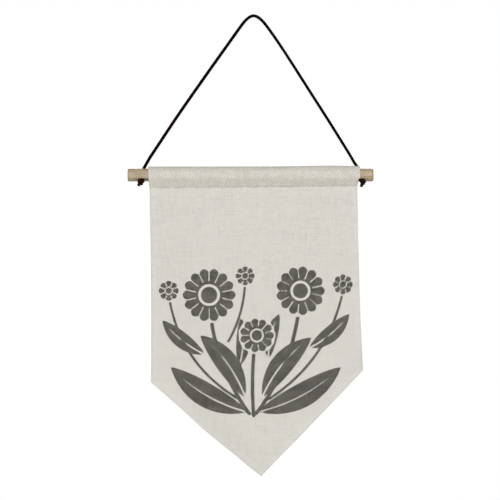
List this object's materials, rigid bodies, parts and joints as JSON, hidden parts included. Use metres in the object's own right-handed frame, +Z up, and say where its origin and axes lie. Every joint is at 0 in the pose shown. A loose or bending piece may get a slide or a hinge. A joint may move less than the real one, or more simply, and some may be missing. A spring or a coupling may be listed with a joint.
{
  "type": "canvas wall banner on a wooden dowel with a hanging cord",
  "caption": "Small canvas wall banner with a rod pocket and an off-centre pointed lower edge, hung from a round wooden dowel on a dark knotted cord.",
  "frame": {"origin": "the hook point: the underside of the hanging cord where it passes over the hook, above the banner near its middle", "axes": "+X across the banner to the right as the viewer sees it, +Y back towards the wall, +Z up; the front faces -Y"},
  "size_m": [0.2313, 0.0165, 0.4354],
  "materials": {
    "canvas": "matt plain-woven off-white canvas",
    "wood": "bare sanded light wood",
    "cord": "dark brown waxed round cord"
  },
  "bodies": {
    "root": {"canvas": "canvas", "dowel": "wood", "hanging_cord": "cord", "knot_left": "cord", "knot_right": "cord"}
  },
  "joints": []
}
